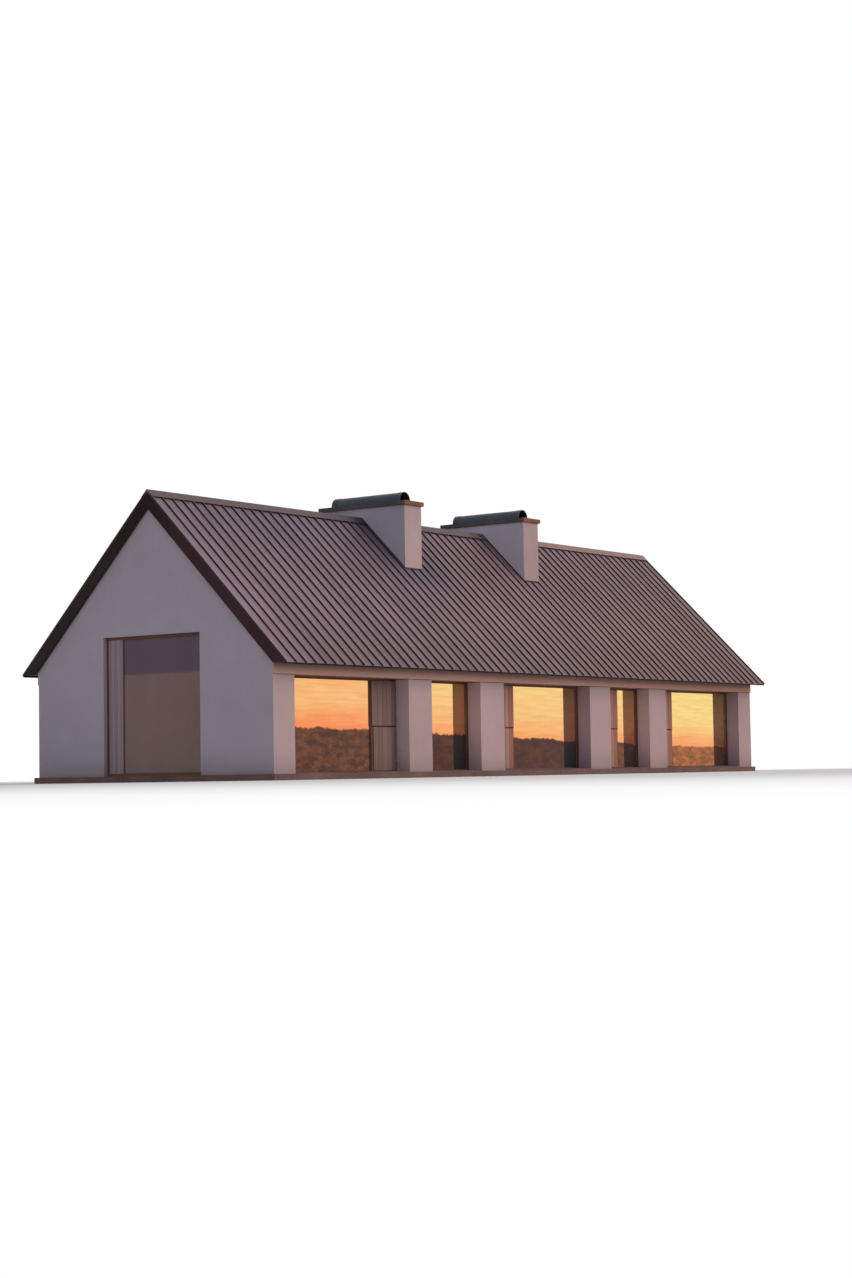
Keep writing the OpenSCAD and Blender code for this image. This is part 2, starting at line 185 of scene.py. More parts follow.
def studio_light():
    """A key lamp from the right of the door side and a fill lamp from the near gable."""
    soft_sun("key_lamp", KEY_TOWARDS, KEY_LEVEL, KEY_TINT, KEY_SPREAD)
    soft_sun("fill_lamp", FILL_TOWARDS, FILL_LEVEL, FILL_TINT, FILL_SPREAD)


def add_node(tree, kind, inputs, **settings):
    """One node: an input is either another node's output, which is linked, or a plain value."""
    made = tree.nodes.new(kind)
    for key, value in settings.items():
        setattr(made, key, value)
    for socket, value in inputs.items():
        if isinstance(value, bpy.types.NodeSocket):
            tree.links.new(value, made.inputs[socket])
        else:
            made.inputs[socket].default_value = value
    return made


def seen_rays(tree):
    """1 for what the eye sees, straight, in gloss or through glass, and 0 for what lights a surface."""
    path = add_node(tree, "ShaderNodeLightPath", {})
    seen = path.outputs["Is Camera Ray"]
    for kind in ("Is Glossy Ray", "Is Transmission Ray"):
        either = add_node(tree, "ShaderNodeMath", {0: seen, 1: path.outputs[kind]}, operation="MAXIMUM")
        seen = either.outputs[0]
    return seen


def white_backdrop():
    """The world lights at its own level, and is white to the eye, in gloss and through glass."""
    world = bpy.data.worlds.new("studio")
    bpy.context.scene.world = world
    world.use_nodes = True
    tree = world.node_tree
    tree.nodes.clear()
    light = add_node(tree, "ShaderNodeBackground", {"Color": SKY_TINT, "Strength": SKY_LEVEL})
    white = add_node(tree, "ShaderNodeBackground", {"Color": WHITE, "Strength": 1.0})
    seen = seen_rays(tree)
    mix = add_node(tree, "ShaderNodeMixShader", {0: seen, 1: light.outputs[0], 2: white.outputs[0]})
    add_node(tree, "ShaderNodeOutputWorld", {"Surface": mix.outputs[0]})


def linear(hex_color):
    """A colour written as six hex digits, as the shader takes it.

    A part s from 0 to 1 becomes s / 12.92 up to 0.04045, and ((s + 0.055) / 1.055) to the power 2.4 above.
    """
    parts = np.array([int(hex_color[i:i + 2], 16) for i in (1, 3, 5)]) / 255.0
    low = parts / 12.92
    high = ((parts + 0.055) / 1.055) ** 2.4
    return (*np.where(parts <= 0.04045, low, high), 1.0)


class Finish:
    """A procedural material: its shader, and short calls that add the nodes of its pattern."""

    def __init__(self, name, roughness=0.6, metallic=0.0, **sockets):
        self.material = bpy.data.materials.new(name)
        self.material.use_nodes = True
        self.tree = self.material.node_tree
        self.shader = self.tree.nodes["Principled BSDF"]
        self.shader.inputs["Roughness"].default_value = roughness
        self.shader.inputs["Metallic"].default_value = metallic
        for socket, value in sockets.items():
            self.shader.inputs[socket.replace("_", " ")].default_value = value
        self.place = self.tree.nodes.new("ShaderNodeTexCoord").outputs["Object"]

    def add(self, kind, inputs, **settings):
        """A node in this material's own tree."""
        return add_node(self.tree, kind, inputs, **settings)

    def noise(self, per_metre, detail=3.0, roughness=0.55, warp=0.0):
        """Cloudy noise with its own number of waves a metre along X, Y and Z."""
        mapped = self.add("ShaderNodeMapping", {"Vector": self.place, "Scale": per_metre})
        return self.add("ShaderNodeTexNoise", {
            "Vector": mapped.outputs["Vector"], "Scale": 1.0, "Detail": detail,
            "Roughness": roughness, "Distortion": warp,
        }).outputs["Fac"]

    def math(self, operation, first, second=0.0, third=0.0):
        """One step of arithmetic."""
        return self.add("ShaderNodeMath", {0: first, 1: second, 2: third}, operation=operation).outputs[0]

    def axis(self, name):
        """Metres along X, Y or Z."""
        return self.add("ShaderNodeSeparateXYZ", {0: self.place}).outputs[name]

    def ramp(self, value, low, high, to_low=0.0, to_high=1.0):
        """The value between low and high, spread smoothly over to_low and to_high."""
        return self.add("ShaderNodeMapRange", {
            "Value": value, "From Min": low, "From Max": high, "To Min": to_low, "To Max": to_high,
        }, interpolation_type="SMOOTHSTEP").outputs["Result"]

    def fade(self, value, low, high):
        """1 up to low, falling smoothly to 0 at high."""
        return self.ramp(value, low, high, 1.0, 0.0)

    def blend(self, *parts):
        """The sum of values, each times its share."""
        value, share = parts[0]
        total = self.math("MULTIPLY", value, share)
        for value, share in parts[1:]:
            total = self.math("MULTIPLY_ADD", value, share, total)
        return total

    def tones(self, value, stops):
        """Colours written as hex digits at places along the value."""
        made = self.add("ShaderNodeValToRGB", {"Fac": value})
        ramp = made.color_ramp
        while len(ramp.elements) < len(stops):
            ramp.elements.new(0.5)
        for element, (position, color) in zip(ramp.elements, stops):
            element.position = position
            element.color = linear(color)
        return made.outputs["Color"]

    def mix(self, amount, first, second, kind="MIX"):
        """From the first colour by the amount to the second, or to another kind of blend of both."""
        made = self.add("ShaderNodeMix", {0: amount, 6: first, 7: second}, data_type="RGBA", blend_type=kind)
        return made.outputs[2]

    def times(self, color, tint, amount=1.0):
        """The colour, drawn by the amount towards itself times the tint."""
        return self.mix(amount, color, tint, "MULTIPLY")

    def each(self, number):
        """A tone of its own for each whole number, such as a board's place in its row."""
        return self.add("ShaderNodeTexWhiteNoise", {"W": number}, noise_dimensions="1D").outputs["Value"]

    def looking(self, axis):
        """How squarely the flat face looks along an axis: 1 along it, -1 against it."""
        normal = self.add("ShaderNodeNewGeometry", {}).outputs["True Normal"]
        return self.add("ShaderNodeSeparateXYZ", {0: normal}).outputs[axis]

    def facing(self, axis):
        """The same, either way along the axis."""
        return self.math("ABSOLUTE", self.looking(axis))

    def edges(self, radius):
        """1 on a sharp edge, falling to 0 at a radius from it."""
        rounded = self.add("ShaderNodeBevel", {"Radius": radius}, samples=4).outputs["Normal"]
        flat = self.add("ShaderNodeNewGeometry", {}).outputs["True Normal"]
        likeness = self.add("ShaderNodeVectorMath", {0: rounded, 1: flat}, operation="DOT_PRODUCT")
        return self.ramp(self.math("SUBTRACT", 1.0, likeness.outputs["Value"]), 0.01, 0.22)

    def color(self, value):
        """Links the surface's colour."""
        self.tree.links.new(value, self.shader.inputs["Base Color"])

    def gloss(self, value):
        """Links the surface's roughness."""
        self.tree.links.new(value, self.shader.inputs["Roughness"])

    def relief(self, *layers):
        """Bump from heights in metres: each layer is a value and the height of its full range."""
        normal = None
        for value, height in layers:
            inputs = {"Height": value, "Distance": height, "Strength": 1.0}
            if normal is not None:
                inputs["Normal"] = normal
            normal = self.add("ShaderNodeBump", inputs).outputs["Normal"]
        self.tree.links.new(normal, self.shader.inputs["Normal"])


def wall_render(name, front_tones, end_tones, under_eaves=False):
    """Lime render: slow clouds of tone, trowel marks, sand grain, paler worn edges with a painted highlight,
    and a damp foot.

    The fronts are a little deeper to the far end, and faces that look down deeper still: painted shade.
    Faces square to the house's length take the cooler end tones, a painted shade. On the piers these are warm
    and pale at the near end and where a narrow bay ends, and on the stacks palest at the far one: painted
    light and shade.
    A beam under the eaves has painted light at its foot and the eaves' painted shade at its top.
    The gable ends have no paler edges, as their walls, piers and beam ends are one flush face.
    """
    f = Finish(name, roughness=0.88, Specular_IOR_Level=0.25)
    clouds = f.noise((0.22, 0.22, 0.30), detail=3.0)
    patches = f.noise((2.2, 2.2, 1.6), detail=5.0, roughness=0.62, warp=0.4)
    streaks = f.noise((5.0, 5.0, 0.22), detail=3.0)
    tone = f.blend((clouds, 0.75), (patches, 0.25))
    along = f.axis("X")
    from_middle = f.math("ABSOLUTE", along)
    off_gable = f.math("LESS_THAN", from_middle, GABLE_FACE - 0.001)
    on_piers = f.math("MULTIPLY", off_gable, f.math("LESS_THAN", f.axis("Z"), PIER_HEAD))
    # Fronts deeper towards the far end: painted shade
    front = f.times(f.tones(tone, front_tones), f.mix(f.ramp(along, *PIER_FRONTS_SHIFT), WHITE, FAR_FRONTS))
    # Beam: painted light at its foot, and painted shade of the eaves at its top
    if under_eaves:
        up = f.ramp(f.axis("Z"), PIER_HEAD + 0.08, PIER_HEAD + 0.30)
        front = f.times(front, f.mix(up, BEAM_FOOT, BEAM_TOP))
    # Pier and stack sides: painted light, warm and pale at the near end and by the narrow bays, and painted
    # shade further along
    pier_side = f.mix(f.ramp(along, *PIER_SIDES_SHIFT), NEAR_SIDES, FAR_SIDES)
    off_narrow = f.math("ABSOLUTE", f.math("SUBTRACT", from_middle, NARROW_END))
    pier_side = f.mix(f.fade(off_narrow, 0.3, 0.9), pier_side, NARROW_BAY_SIDES)
    stack_side = f.mix(f.ramp(along, *STACK_SIDES_SHIFT), NEAR_STACK_SIDES, FAR_STACK_SIDES)
    side = f.mix(on_piers, f.mix(off_gable, WHITE, stack_side), pier_side)
    # Cooler end tones on faces square to the house's length: painted shade
    ends = f.times(f.tones(tone, end_tones), side)
    body = f.mix(f.ramp(f.facing("X"), 0.6, 0.9), front, ends)
    # Faces that look down: painted shade
    body = f.times(body, SOFFITS, f.fade(f.looking("Z"), -0.8, -0.5))
    washed = f.times(body, linear("#e6e2e2"), f.ramp(streaks, 0.54, 0.82, 0.0, 0.14))
    # Paler edges: partly worn, partly a painted highlight
    edge_wear_and_highlight = f.math("MULTIPLY", f.edges(0.014), f.math("MULTIPLY", off_gable, 0.35))
    rubbed_and_highlit = f.mix(edge_wear_and_highlight, washed, linear("#c2b9b8"))
    foot = f.ramp(f.math("MULTIPLY_ADD", patches, -0.5, f.axis("Z")), -0.05, 0.55, 0.38, 0.0)
    f.color(f.mix(foot, rubbed_and_highlit, linear("#7d7070")))
    trowel = f.noise((5.5, 5.5, 9.0), detail=2.0, roughness=0.4, warp=0.8)
    grain = f.noise((260.0, 260.0, 260.0), detail=2.0)
    f.relief((trowel, 0.0025), (grain, 0.0010))
    f.gloss(f.ramp(patches, 0.3, 0.7, 0.82, 0.94))
    return f.material


def pale_stone(name, pale, mid, deep):
    """Worn stone: clouded tone, dark pores and a pitted face."""
    f = Finish(name, roughness=0.8, Specular_IOR_Level=0.3)
    clouds = f.noise((1.3, 1.3, 1.3), detail=5.0, roughness=0.6)
    pits = f.noise((38.0, 38.0, 38.0), detail=4.0, roughness=0.7)
    body = f.tones(clouds, [(0.32, deep), (0.5, mid), (0.7, pale)])
    dark = f.ramp(pits, 0.56, 0.72, 0.0, 0.5)
    f.color(f.mix(dark, body, linear(deep)))
    f.relief((pits, 0.004), (f.noise((300.0, 300.0, 300.0)), 0.001))
    f.gloss(f.ramp(clouds, 0.3, 0.7, 0.72, 0.88))
    return f.material


def beside_first_stack(f, reach):
    """How near a roof point is to the first stack: 1 at its sides, 0 from the reach on, and 0 low down."""
    # Mask of the painted shade beside the first stack
    low, high = STACKS[0, :, 0]
    half = (high - low) / 2
    aside = f.math("ABSOLUTE", f.math("SUBTRACT", f.axis("X"), (low + high) / 2))
    up_slope = f.ramp(f.axis("Z"), RIDGE_Z - 2.6, RIDGE_Z - 1.4)
    return f.math("MULTIPLY", f.fade(aside, half, half + reach), up_slope)


def seamed_metal(name, near_tones, far_tones):
    """Matt rolled metal: toned sheets, seam sides and undersides painted near black as shade, grime and
    painted shade along each seam's foot, and a slow bow.

    It is warmer to the far end of the house, darker towards the ridge, darker low down and beside
    the first stack, and lighter along the near verge: painted evening light and shade.
    """
    f = Finish(name, roughness=0.5, metallic=0.2, Specular_IOR_Level=0.3)
    along = f.axis("X")
    up = f.axis("Z")
    bays = f.math("DIVIDE", f.math("ADD", along, ROOF_END - SEAM_W / 2), SEAM_PITCH)
    sheet_tone = f.each(f.math("FLOOR", bays))
    runs = f.noise((22.0, 0.35, 0.35), detail=4.0)
    clouds = f.noise((0.5, 0.4, 0.4), detail=4.0)
    mottle = f.noise((34.0, 34.0, 34.0), detail=3.0, roughness=0.65)
    tone = f.blend((runs, 0.30), (sheet_tone, 0.11), (clouds, 0.29), (mottle, 0.30))
    # Warmer far tones: painted evening light
    body = f.mix(f.ramp(along, *SHEETS_SHIFT), f.tones(tone, near_tones), f.tones(tone, far_tones))
    # Darker towards the ridge, low down and beside the first stack, lighter by the near verge: painted shade
    # and light
    ridge_shade = f.ramp(up, EAVE_Z + 1.6, RIDGE_Z - 0.3, 0.0, 0.33)
    ridge_shade = f.math("MULTIPLY", ridge_shade, f.ramp(along, *SHEETS_RIDGE_SHADE_SHIFT, 1.0, 0.5))
    body = f.mix(ridge_shade, body, linear("#403d4d"))
    body = f.times(body, SHEETS_AT_EAVE, f.fade(up, EAVE_Z, EAVE_Z + 1.5))
    body = f.times(body, SHEETS_AT_VERGE, f.ramp(along, 1.4 - ROOF_END, 0.5 - ROOF_END))
    body = f.times(body, SHEETS_AT_STACK, beside_first_stack(f, 1.9))
    to_seam = f.math("SUBTRACT", 0.5, f.math("ABSOLUTE", f.math("SUBTRACT", f.math("FRACT", bays), 0.5)))
    # Dark strip at each seam's foot: partly grime, partly painted shade
    seam_grime_and_shade = f.ramp(to_seam, 0.045, 0.085, 0.8, 0.0)
    on_pan = f.ramp(to_seam, 0.040, 0.044)
    with_seam_grime_and_shade = f.mix(f.math("MULTIPLY", seam_grime_and_shade, on_pan), body, linear("#33282a"))
    # Seam sides and undersides drawn towards near black: painted shade
    near_sides = f.fade(f.looking("X"), -0.5, -0.35)
    sides = f.math("MAXIMUM", near_sides, f.ramp(f.looking("X"), 0.35, 0.5, 0.0, 0.55))
    shaded = f.math("MAXIMUM", sides, f.fade(f.looking("Z"), -0.5, -0.2))
    f.color(f.mix(shaded, with_seam_grime_and_shade, linear("#1c1013")))
    bow = f.noise((1.6, 0.5, 0.5), detail=1.0)
    f.relief((bow, 0.02), (mottle, 0.0006))
    f.gloss(f.ramp(runs, 0.3, 0.7, 0.44, 0.58))
    return f.material


def capped_metal(name):
    """The ridge cap's metal: a duller brown than the sheets, with painted light far off and painted shade
    beside the first stack.

    It is dark where it looks down: painted shade under the flange.
    """
    f = Finish(name, roughness=0.55, metallic=0.15, Specular_IOR_Level=0.25)
    runs = f.noise((3.0, 0.5, 0.5), detail=4.0)
    fine = f.noise((40.0, 40.0, 40.0), detail=3.0, roughness=0.6)
    tone = f.blend((runs, 0.65), (fine, 0.35))
    # The far tones are lighter: painted light
    near = f.tones(tone, [(0.34, "#4c3e40"), (0.5, "#574748"), (0.66, "#645254")])
    far = f.tones(tone, [(0.34, "#785d55"), (0.5, "#876962"), (0.66, "#94756d")])
    body = f.mix(f.ramp(f.axis("X"), STACKS[1, 0, 0], STACKS[1, 1, 0]), near, far)
    # Painted shade beside the first stack
    body = f.times(body, RIDGE_AT_STACK, beside_first_stack(f, 2.9))
    # Dark where it looks down: painted shade
    f.color(f.mix(f.fade(f.looking("Z"), -0.5, -0.2), body, linear("#241a1c")))
    f.relief((fine, 0.0006))
    f.gloss(f.ramp(runs, 0.3, 0.7, 0.5, 0.62))
    return f.material


def cloudy(f):
    """Faint clouds, a fine grain, and the tone that both make together."""
    clouds = f.noise((0.9, 0.9, 0.9), detail=4.0)
    fine = f.noise((40.0, 40.0, 40.0), detail=3.0, roughness=0.6)
    return clouds, fine, f.blend((clouds, 0.65), (fine, 0.35))


def plain_metal(name, pale, mid, deep, roughness, metallic, specular):
    """Coated metal: faint clouds, a fine grain and duller patches where it weathers."""
    f = Finish(name, roughness=roughness, metallic=metallic, Specular_IOR_Level=specular)
    clouds, fine, tone = cloudy(f)
    f.color(f.tones(tone, [(0.34, deep), (0.5, mid), (0.66, pale)]))
    f.relief((fine, 0.0008))
    f.gloss(f.ramp(clouds, 0.3, 0.7, roughness - 0.07, roughness + 0.1))
    return f.material


def barge_paint(name):
    """Dark brown paint: faint clouds and a fine grain, lighter down the door side's run: painted light.

    The other run is darker, painted shade, and darkest towards the apex.
    """
    f = Finish(name, roughness=0.6, metallic=0.05, Specular_IOR_Level=0.08)
    clouds, fine, tone = cloudy(f)
    # Door side's run: painted light; the other run: painted shade, deepest towards the apex
    lit_run = f.tones(tone, [(0.34, "#2d1b1d"), (0.5, "#372225"), (0.66, "#412b2e")])
    shaded_run = f.tones(tone, [(0.34, "#271b19"), (0.5, "#2e211f"), (0.66, "#362826")])
    shaded_run = f.times(shaded_run, BARGE_AT_APEX, f.ramp(f.axis("Z"), BARGE_DARKENS_Z, RIDGE_Z - 0.6))
    f.color(f.mix(f.ramp(f.axis("Y"), -1.6, 0.2), lit_run, shaded_run))
    f.relief((fine, 0.0008))
    f.gloss(f.ramp(clouds, 0.3, 0.7, 0.53, 0.7))
    return f.material


def weathered_boards(name, tones, board_width, board_start, axis="X", split=0.0):
    """Upright boards counted from their start: each has its own tone, with long grain and broad streaks.

    Above the split each board's tone is another one.
    """
    f = Finish(name, roughness=0.78, Specular_IOR_Level=0.25)
    place = f.math("SUBTRACT", f.axis(axis), board_start)
    number = f.math("FLOOR", f.math("DIVIDE", place, board_width))
    above_split = f.math("GREATER_THAN", f.axis("Z"), split)
    numbers_apart = 16.0
    board_tone = f.each(f.math("MULTIPLY_ADD", above_split, numbers_apart, number))
    grain = f.noise((55.0, 55.0, 1.4), detail=5.0, roughness=0.62, warp=0.5)
    broad = f.noise((9.0, 9.0, 0.35), detail=3.0)
    f.color(f.tones(f.blend((grain, 0.42), (board_tone, 0.22), (broad, 0.36)), tones))
    f.relief((grain, 0.0022), (f.noise((190.0, 190.0, 5.0)), 0.0008))
    f.gloss(f.ramp(broad, 0.3, 0.7, 0.7, 0.86))
    return f.material


def mirrored_glass(name):
    """Coated glass, mostly a warm mirror with level veils and streaks, and mottled deep brown low down: a
    painted reflection of an evening sky over dark land.

    It is orange in the nearest bay, yellower in the middle ones and yellowest in the far one.
    The brown part's ragged top, the painted land's edge, rises towards the near end. A thin film of dust
    scatters a cool light.
    """
    dust = {"Sheen_Weight": 0.5, "Sheen_Roughness": 0.7, "Sheen_Tint": GLASS_DUST}
    f = Finish(name, roughness=0.03, metallic=0.95, Transmission_Weight=1.0, IOR=1.5, **dust)
    slow_waves = f.noise((0.9, 0.9, 0.9), detail=3.0, roughness=0.6)
    ragged = f.noise((6.0, 6.0, 6.0), detail=5.0, roughness=0.7)
    height = f.math("MULTIPLY_ADD", f.axis("X"), 0.024, f.axis("Z"))
    height = f.math("MULTIPLY_ADD", slow_waves, -0.30, height)
    height = f.math("MULTIPLY_ADD", ragged, -0.16, height)
    veils = f.noise((0.45, 0.45, 5.5), detail=4.0, roughness=0.6)
    level = f.ramp(f.math("MULTIPLY_ADD", veils, 0.6, height), 1.15, 2.75)
    # Painted reflection of the evening sky, orange near and yellower further
    near = f.tones(level, [
        (0.0, "#ff9658"), (0.1, "#ffa765"), (0.3, "#ffbd77"), (0.5, "#ffc580"), (1.0, "#ffbb77"),
    ])
    middle = f.tones(level, [(0.0, "#ffac63"), (0.1, "#ffbd72"), (0.45, "#ffcc7f"), (1.0, "#ffd686")])
    far = f.tones(level, [(0.0, "#ffa25c"), (0.08, "#ffb869"), (0.45, "#ffdb7e"), (1.0, "#ffe086")])
    past_first = f.ramp(f.axis("X"), *PAST_FIRST_GLASS)
    to_last = f.ramp(f.axis("X"), *TO_LAST_GLASS)
    streaks = f.noise((0.8, 0.8, 10.0), detail=5.0, roughness=0.65, warp=0.6)
    bright = f.mix(to_last, f.mix(past_first, near, middle), far)
    bright = f.times(bright, GLASS_STREAKS, f.ramp(streaks, 0.40, 0.62))
    patches = f.noise((3.2, 3.2, 6.5), detail=5.0, roughness=0.7)
    # Painted reflection of dark land, mottled
    brown = f.mix(to_last, f.mix(past_first, linear("#5f351c"), linear("#4d1e00")), linear("#9b5200"))
    brown = f.times(brown, f.ramp(patches, 0.36, 0.66, 0.62, 1.55))
    f.color(f.mix(f.ramp(height, *LAND_REFLECTION_Z), brown, bright))
    f.relief((f.noise((0.5, 0.5, 0.5), detail=1.0), 0.002))
    return f.material


def dusky_glass(name):
    """Dark coated glass with faint streaks and a browner tone in its lower part: a painted reflection of a
    dusk sky above and land below.
    """
    f = Finish(name, roughness=0.05, Transmission_Weight=0.55, IOR=1.45, Specular_IOR_Level=0.35)
    streaks = f.noise((1.2, 1.2, 0.25), detail=2.0)
    # Painted reflection: dark dusk sky above, browner land below
    body = f.tones(streaks, [(0.3, "#61435c"), (0.7, "#6c4d67")])
    low = f.tones(streaks, [(0.3, "#96706c"), (0.7, "#a47a74")])
    f.color(f.mix(f.ramp(f.axis("Z"), *DUSKY_GLASS_Z), low, body))
    f.relief((f.noise((0.5, 0.5, 0.5), detail=1.0), 0.002))
    return f.material


def roof_slab(name):
    """Dark stained boards outside, and pale lining boards where the slab looks down into the room."""
    f = Finish(name, roughness=0.6, Specular_IOR_Level=0.3)
    board_width = 0.12
    board_tone = f.each(f.math("FLOOR", f.math("DIVIDE", f.axis("Y"), board_width)))
    grain = f.noise((1.1, 24.0, 24.0), detail=4.0, warp=0.5)
    tone = f.blend((grain, 0.6), (board_tone, 0.4))
    stained = f.tones(tone, [(0.3, "#33282a"), (0.7, "#433536")])
    lining = f.tones(tone, [(0.3, "#8e7c6a"), (0.7, "#a3917e")])
    across = f.math("LESS_THAN", f.math("ABSOLUTE", f.axis("Y")), ROOM_FACE)
    along = f.math("LESS_THAN", f.math("ABSOLUTE", f.axis("X")), GABLE_FACE)
    f.color(f.mix(f.math("MULTIPLY", across, along), stained, lining))
    f.relief((grain, 0.0015))
    return f.material


def slab_cap(name):
    """Dark cap slab, reddish brown on its two short ends and in patches near the door side's end: rusted
    metal with painted warm light.
    """
    f = Finish(name, roughness=0.6, metallic=0.1, Specular_IOR_Level=0.15)
    clouds = f.noise((1.4, 1.4, 1.4), detail=5.0, roughness=0.6)
    fine = f.noise((45.0, 45.0, 45.0), detail=3.0)
    tone = f.blend((clouds, 0.65), (fine, 0.35))
    body = f.tones(tone, [(0.34, "#3e383c"), (0.5, "#494347"), (0.66, "#554e52")])
    # Reddish ends and door-side patches: partly rusted, partly painted warm light
    rust_and_warm_light = f.tones(tone, [(0.36, "#553728"), (0.5, "#744a35"), (0.64, "#86573e")])
    patches = f.noise((7.0, 7.0, 22.0), detail=4.0, roughness=0.65)
    end_y = CAPS[0, 1, 1]
    near_end = f.ramp(f.math("MULTIPLY", f.axis("Y"), -1.0), end_y - 0.35, end_y, 0.0, 0.30)
    creeping = f.ramp(f.math("ADD", patches, near_end), 0.66, 0.80, 0.0, 0.75)
    f.color(f.mix(f.math("MAXIMUM", f.ramp(f.facing("Y"), 0.6, 0.9), creeping), body, rust_and_warm_light))
    f.relief((fine, 0.001))
    return f.material


def pointing(name, pale, deep):
    """Soft sealing: dull, slightly grained."""
    f = Finish(name, roughness=0.8, Specular_IOR_Level=0.2)
    fine = f.noise((120.0, 120.0, 120.0), detail=2.0)
    f.color(f.tones(fine, [(0.3, deep), (0.7, pale)]))
    f.relief((fine, 0.0006))
    return f.material


def floor_boards(name):
    """Long floor boards along the house, seen through the glass."""
    f = Finish(name, roughness=0.5)
    board_width = 0.24
    board_tone = f.each(f.math("FLOOR", f.math("DIVIDE", f.axis("Y"), board_width)))
    grain = f.noise((1.2, 26.0, 26.0), detail=4.0, warp=0.6)
    tone = f.blend((grain, 0.6), (board_tone, 0.4))
    f.color(f.tones(tone, [(0.25, "#857766"), (0.5, "#a08f7b"), (0.75, "#b5a48e")]))
    f.relief((grain, 0.001))
    return f.material


def dress(finish, *names):
    """Puts one finish on whole nodes or pieces."""
    for name in names:
        mesh = bpy.data.objects[name].data
        mesh.materials.clear()
        mesh.materials.append(finish)


def shell_faces(rows, columns, ring):
    """Quads over a grid whose columns close on themselves.

    A ring's rows close too, and else its two ends are capped.
    """
    last = rows if ring else rows - 1
    row, column = np.meshgrid(np.arange(last), np.arange(columns), indexing="ij")
    beside = (column + 1) % columns
    below = (row + 1) % rows
    quads = np.stack([
        row * columns + column, row * columns + beside,
        below * columns + beside, below * columns + column,
    ], axis=-1).reshape(-1, 4)
    if ring:
        return [quads]
    ends = np.arange(columns)
    return [quads, np.stack([ends[::-1], ends + (rows - 1) * columns])]


def piece(name, finish, slot, *shells, body="house"):
    """One object from arrays of shells (copies, rows, columns, 3), each with True where it is a ring."""
    points = []
    faces = []
    start = 0
    for grids, ring in shells:
        copies, rows, columns, _ = grids.shape
        points.append(grids.reshape(-1, 3))
        offsets = start + np.arange(copies)[:, None, None] * rows * columns
        for kind in shell_faces(rows, columns, ring):
            faces += (kind[None] + offsets).reshape(-1, kind.shape[1]).tolist()
        start += copies * rows * columns
    mesh = bpy.data.meshes.new(name)
    mesh.from_pydata(np.concatenate(points).tolist(), [], faces)
    shape = bmesh.new()
    shape.from_mesh(mesh)
    bmesh.ops.recalc_face_normals(shape, faces=shape.faces)
    shape.to_mesh(mesh)
    shape.free()
    mesh.materials.append(finish)
    made = bpy.data.objects.new(name, mesh)
    bpy.context.scene.collection.objects.link(made)
    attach(made, body)


def along_x(outline, starts, ends):
    """An outline in Y and Z carried straight along X, once for each start and end."""
    outline = np.asarray(outline, float)
    grids = np.empty((len(starts), 2, len(outline), 3))
    grids[..., 0] = np.stack([starts, ends], axis=1)[:, :, None]
    grids[..., 1:] = outline
    return grids


def along_z(outlines, low, high):
    """Outlines in X and Y, shaped (copies, points, 2), carried straight up from low to high."""
    outlines = np.asarray(outlines, float)
    grids = np.empty((len(outlines), 2, outlines.shape[1], 3))
    grids[..., :2] = outlines[:, None]
    grids[..., 2] = np.array([low, high])[None, :, None]
    return grids


def mitred_loops(lows, highs, outline, axes):
    """Frames round rectangles: an outline point (u, v) runs u inside the edge and v along the third axis.

    Each corner is the rectangle's middle plus its sign times (half the side less u), so corners are mitred.
    """
    outline = np.asarray(outline, float)
    signs = np.array([[-1, -1], [1, -1], [1, 1], [-1, 1]])
    middle = (np.asarray(highs) + lows) / 2
    half = (np.asarray(highs) - lows) / 2
    grids = np.zeros((len(middle), 4, len(outline), 3))
    for n, axis in enumerate(axes[:2]):
        grids[..., axis] = middle[:, axis, None, None] + signs[None, :, n, None] * (
            half[:, axis, None, None] - outline[None, None, :, 0])
    grids[..., axes[2]] = np.asarray(lows)[:, axes[2], None, None] + outline[None, None, :, 1]
    return grids


def mirrored(grids, axis):
    """The same shells on the other side of the house."""
    signs = np.ones(3)
    signs[axis] = -1
    return grids * signs


def domes(centres, normals, radius):
    """Screw and bolt heads: for angles a up to 72 degrees, eight points on a ring of radius r cos(a).

    The ring lies rise times r sin(a) up the normal.
    """
    rise = 0.55
    steep = 0.9
    centres = np.asarray(centres, float)
    normals = np.asarray(normals, float)
    normals = normals / np.linalg.norm(normals, axis=1, keepdims=True)
    helper = np.where(np.abs(normals[:, :1]) < steep, [[1.0, 0.0, 0.0]], [[0.0, 1.0, 0.0]])
    across = np.cross(normals, helper)
    across /= np.linalg.norm(across, axis=1, keepdims=True)
    around = np.cross(normals, across)
    lift = np.radians([0.0, 40.0, 72.0])[None, :, None, None]
    turn = np.linspace(0, 2 * math.pi, 8, endpoint=False)[None, None, :, None]
    ring = np.cos(turn) * across[:, None, None] + np.sin(turn) * around[:, None, None]
    up = normals[:, None, None] * rise * np.sin(lift)
    return centres[:, None, None] + radius * (ring * np.cos(lift) + up)


def slope_z(y, lift):
    """Height of the plane that lies lift above the slab: ridge + lift / cos(slope) - |y| tan(slope)."""
    return RIDGE_Z + lift / math.cos(ROOF_SLOPE) - np.abs(y) * math.tan(ROOF_SLOPE)


def pane_ends(node):
    """Start and end along X of each pane of a glass node, in order."""
    mesh = bpy.data.objects[node].data
    places = np.empty(len(mesh.vertices) * 3)
    mesh.vertices.foreach_get("co", places)
    ends = np.unique(places.reshape(-1, 3)[:, 0].round(4))
    return ends[0::2], ends[1::2]


